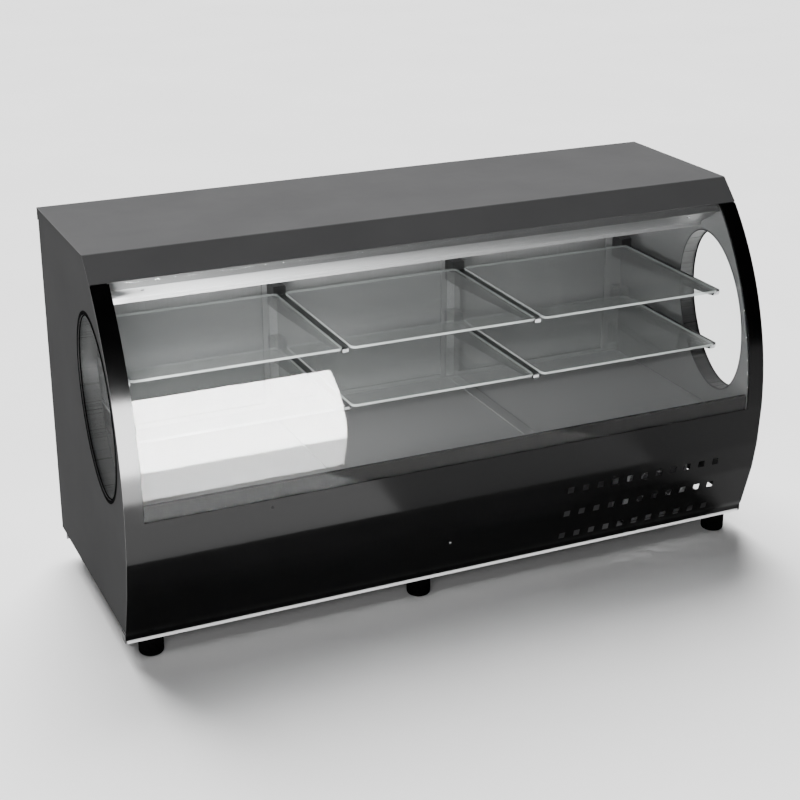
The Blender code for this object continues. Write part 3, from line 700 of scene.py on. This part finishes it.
def fan():
    """Square housing with a bore, a wire guard and a five-bladed rotor."""
    low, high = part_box("fan_frame")
    x, z = (low.x + high.x) / 2, (low.z + high.z) / 2
    square = rounded(low.x, low.z, high.x, high.z, 0.0080)
    holes = [circle((x + sx * 0.0740, z + sz * 0.0740), 0.0026, 16) for sx in (-1, 1) for sz in (-1, 1)]
    put(slab("fan_housing", "y", [square, circle((x, z), 0.0760), *holes], low.y, high.y, ZINC, 0.0010),
        "fan_frame")
    for number, radius in enumerate((0.0300, 0.0450, 0.0600, 0.0750), 1):
        ring = [(radius + 0.0010 * math.cos(t), 0.0010 * math.sin(t))
                for t in (math.pi * k / 4 for k in range(8))]
        put(turned(f"fan_guard_ring_{number}", ring[::-1], (x, low.y - 0.0010, z), (0, -1, 0), SCREW, 48,
                   closed=True))
    for number in range(4):
        t = math.radians(45 + 90 * number)
        ends = [Vector((x + r * math.cos(t), low.y - 0.0022, z + r * math.sin(t))) for r in (0.0290, 0.1000)]
        rod = [(0.0, (ends[1] - ends[0]).length), (0.0010, (ends[1] - ends[0]).length), (0.0010, 0.0), (0.0, 0.0)]
        put(turned(f"fan_guard_rod_{number + 1}", rod, ends[0], ends[1] - ends[0], SCREW, 12))
    rotor_low, rotor_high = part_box("fan_rotor")
    middle = (rotor_low.y + rotor_high.y) / 2
    hub = [(0.0, 0.0068), (0.0200, 0.0068), (0.0230, 0.0060), (0.0240, 0.0040), (0.0240, -0.0068), (0.0, -0.0068)]
    put(turned("fan_hub", hub, (x, middle, z), (0, -1, 0), PLASTIC), "fan_rotor", "fan")
    for k in range(5):
        put(blade(f"fan_blade_{k + 1}", (x, middle, z), 2 * math.pi * k / 5), body="fan")


def blade(name, centre, turn):
    """One twisted blade: rings of a thin section that swings and widens from hub to tip."""
    rings = []
    for k in range(9):
        t = k / 8
        radius = 0.0225 + 0.0490 * t
        half = math.radians(17 + 6 * t)
        pitch = 0.0058 - 0.0022 * t
        ring = []
        for u, w in ((-1.0, 0.0), (-0.5, 0.0006), (0.0, 0.0008), (0.5, 0.0006), (1.0, 0.0), (0.5, -0.0004),
                     (0.0, -0.0005), (-0.5, -0.0004)):
            angle = turn + u * half + 0.35 * t
            ring.append((centre[0] + radius * math.cos(angle), centre[1] + pitch * u + w,
                         centre[2] + radius * math.sin(angle)))
        rings.append(ring)
    bm = bmesh.new()
    loops = [[bm.verts.new(p) for p in ring] for ring in rings]
    for low, high in zip(loops, loops[1:]):
        for a, b, c, d in zip(low, low[1:] + low[:1], high[1:] + high[:1], high):
            bm.faces.new((a, b, c, d))
    bm.faces.new(loops[0])
    bm.faces.new(loops[-1][::-1])
    bmesh.ops.recalc_face_normals(bm, faces=bm.faces)
    mesh = bpy.data.meshes.new(name)
    bm.to_mesh(mesh)
    bm.free()
    return settle(link(name, mesh, PLASTIC))


def feet():
    """Rubber feet: grooves round the side, a rounded lower edge and a recess underneath."""
    for row in ("front", "rear"):
        for side in BAYS:
            node = f"foot_{row}_{side}"
            low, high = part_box(node)
            x, y, top = (low.x + high.x) / 2, (low.y + high.y) / 2, high.z
            r = (high.x - low.x) / 2
            profile = [(0.0, top), (r - 0.0015, top), (r - 0.0004, top - 0.0011), (r, top - 0.0030), (r, 0.0270),
                       (r - 0.0008, 0.0262), (r - 0.0008, 0.0246), (r, 0.0238), (r, 0.0170),
                       (r - 0.0008, 0.0162), (r - 0.0008, 0.0146), (r, 0.0138), (r, 0.0060), (r - 0.0008, 0.0028),
                       (r - 0.0024, 0.0008), (r - 0.0044, 0.0), (0.0080, 0.0), (0.0070, 0.0030), (0.0, 0.0030)]
            put(turned(f"foot_{row}_{side}", profile, (x, y, 0.0), (0, 0, 1), RUBBER, 48), node)


def rear_panel():
    paint(STEEL_X, "rear_panel")
    paint(BLACK, "control_plate")
    for number, x in enumerate((-0.7200, -0.3800, 0.0, 0.3800, 0.7200), 1):
        for row, z in (("low", 0.0560), ("high", 0.2340)):
            screw(f"rear_panel_screw_{number}_{row}", (x, REAR_PANEL_Y, z), (0, 1, 0), 0.0034)
    corners = [(x, z) for z in (0.1060, 0.1940) for x in (-0.6640, -0.4360)]
    for number, (x, z) in enumerate(corners, 1):
        screw(f"control_plate_screw_{number}", (x, 0.2710, z), (0, 1, 0), 0.0028)


def gland():
    low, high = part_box("mains_gland")
    x, z, y = (low.x + high.x) / 2, (low.z + high.z) / 2, low.y
    nut = [(x + 0.0130 * math.cos(math.radians(60 * k)), z + 0.0130 * math.sin(math.radians(60 * k)))
           for k in range(6)]
    put(slab("gland_nut", "y", [nut], y, y + 0.0060, PLASTIC, 0.0006), "mains_gland")
    cap = [(0.0045, 0.0203), (0.0086, 0.0205), (0.0092, 0.0200), (0.0105, 0.0184), (0.0105, 0.0055), (0.0, 0.0055),
           (0.0, 0.0070), (0.0045, 0.0070)]
    put(turned("gland_cap", cap, (x, y, z), (0, 1, 0), PLASTIC, 36))


def apron_screws():
    """Two small screws that fix the apron to the tray behind it."""
    for name, x, z, mat in (("left", -0.4450, 0.3100, DARK_SCREW), ("middle", -0.0300, 0.1300, SCREW)):
        y = front_point(z)[0]
        screw(f"apron_screw_{name}", (x, y + 0.0009, z), (0, -1, -0.10), 0.0028, mat)


# ================================================================ build
front_panel()
top_cover()
base_tray()
window("left", -1)
window("right", 1)
paint(SHADED_END_COAT, "end_panel_left", "end_panel_right")
paint(POLISHED, "side_liner_left", "side_liner_right")
paint(STEEL_X, "ceiling_panel")
apron_screws()
front_glass()
light()
shelves()
brackets()
deck()
rear()
rear_panel()
knob()
switches()
gland()
fan()
feet()


# ================================================================ floor, light and camera
def floor():
    r = FLOOR_HALF
    mesh = bpy.data.meshes.new("floor")
    mesh.from_pydata([(-r, -r, 0), (r, -r, 0), (r, r, 0), (-r, r, 0)], [], [(0, 1, 2, 3)])
    shader = Shader("pale floor", (0.86, 0.86, 0.86), 0.60)
    shader.colour(shader.noise(1.5), (0.85, 0.85, 0.85), (0.88, 0.88, 0.88))
    plane = link("floor", mesh, shader.mat)
    plane.location.z = -0.0004


def area(name, location, target, size, power, gloss=True, diffuse=True):
    """A soft rectangular light that faces a point."""
    data = bpy.data.lights.new(name, "AREA")
    data.shape = "RECTANGLE"
    data.size, data.size_y = size
    data.energy = power
    lamp = bpy.data.objects.new(name, data)
    bpy.context.scene.collection.objects.link(lamp)
    lamp.location = location
    lamp.rotation_euler = (Vector(target) - Vector(location)).to_track_quat("-Z", "Y").to_euler()
    lamp.visible_camera = False
    lamp.visible_glossy = gloss
    lamp.visible_diffuse = diffuse
    return lamp


def only_on(lamp, *names):
    """Limits a light to the named pieces and CAD nodes."""
    group = bpy.data.collections.new(f"{lamp.name}_receivers")
    for obj in bpy.data.objects:
        if obj.name.split(".")[0] in names:
            group.objects.link(obj)
    lamp.light_linking.receiver_collection = group


def surroundings():
    """Light from all round that is bright behind and above and dim in front, on a pale backdrop."""
    world = bpy.data.worlds.new("studio")
    bpy.context.scene.world = world
    world.use_nodes = True
    nodes, links = world.node_tree.nodes, world.node_tree.links
    coords = nodes.new("ShaderNodeTexCoord")
    dot = nodes.new("ShaderNodeVectorMath")
    dot.operation = "DOT_PRODUCT"
    dot.inputs[1].default_value = Vector((0.35, 0.80, 0.48)).normalized()
    spread = nodes.new("ShaderNodeMapRange")
    for socket, value in (("From Min", -0.5), ("From Max", 0.9), ("To Min", 0.05), ("To Max", 1.90)):
        spread.inputs[socket].default_value = value
    backdrop = nodes.new("ShaderNodeMix")
    backdrop.inputs["B"].default_value = 36.0
    links.new(nodes.new("ShaderNodeLightPath").outputs["Is Camera Ray"], backdrop.inputs["Factor"])
    links.new(coords.outputs["Generated"], dot.inputs[0])
    links.new(dot.outputs["Value"], spread.inputs["Value"])
    links.new(spread.outputs["Result"], backdrop.inputs["A"])
    links.new(backdrop.outputs["Result"], nodes["Background"].inputs["Strength"])


def overhead():
    """A very soft light from above and behind."""
    sky = bpy.data.objects.new("overhead", bpy.data.lights.new("overhead", "SUN"))
    bpy.context.scene.collection.objects.link(sky)
    sky.data.energy = 12.0
    sky.data.angle = math.radians(50)
    sky.rotation_euler = (math.radians(-42), math.radians(8), 0.0)
    sky.visible_glossy = False


def reflected():
    """Cards that only the front glass and the black coat mirror: upright ones in front, and two on the floor."""
    x, y, width = SOFTBOX_X, SOFTBOX_Y, SOFTBOX_WIDTH
    for name, middle, aim, size, power in (
            ("low_softbox", (x, y, 0.580), (x, 0.0, 0.580), (width, 0.64), 430.0),
            ("softbox_foot", (x, y, 0.130), (x, 0.0, 0.130), (width, 0.25), 38.0),
            ("floor_card_left", (-0.375, -0.900, 0.010), (-0.375, -0.900, 1.0), (0.75, 0.60), 11.0),
            ("floor_card_middle", (0.350, -0.900, 0.010), (0.350, -0.900, 1.0), (0.70, 0.60), 2.2)):
        only_on(area(name, middle, aim, size, power, diffuse=False), "curved_front_glass", "apron_sheet")


def fills():
    """Diffuse lights: one for the whole front, and small ones for the canopy, the tray's lip and the inside."""
    area("front_fill", (-1.3, -2.4, 1.3), (0.0, 0.0, 0.5), (1.8, 1.2), 22.0, gloss=False)
    only_on(area("kicker", (-0.95, -0.50, 0.40), (-0.55, -0.10, 0.74), (0.30, 0.20), 330.0, gloss=False),
            "canopy_sheet")
    only_on(area("lip_light", (0.0, -1.50, 0.15), (0.0, -0.24, 0.04), (2.0, 0.20), 30.0, gloss=False),
            "base_tray_lip")
    inside = [f"{kind}_{bay}" for kind in ("rear_door", "door_cup", "deck_pan", "deck_strip", "mullion_strip",
                                           "shelf_mid", "shelf_top") for bay in BAYS]
    only_on(area("cabinet_fill", (-1.20, -1.10, 0.75), (-0.20, 0.15, 0.45), (0.70, 0.50), 62.0, gloss=False),
            "rear_frame", *inside)
    area("machine_light", (0.47, -0.235, 0.215), (0.50, -0.19, 0.150), (0.16, 0.03), 0.4, gloss=False)


def camera():
    data = bpy.data.cameras.new("camera")
    data.lens = CAMERA_LENS
    data.sensor_width = 36.0
    data.shift_y = CAMERA_SHIFT_Y
    data.clip_end = 50.0
    view = bpy.data.objects.new("camera", data)
    bpy.context.scene.collection.objects.link(view)
    view.location = CAMERA_AT
    view.rotation_euler = CAMERA_TURN
    bpy.context.scene.camera = view


floor()
surroundings()
overhead()
reflected()
fills()
camera()
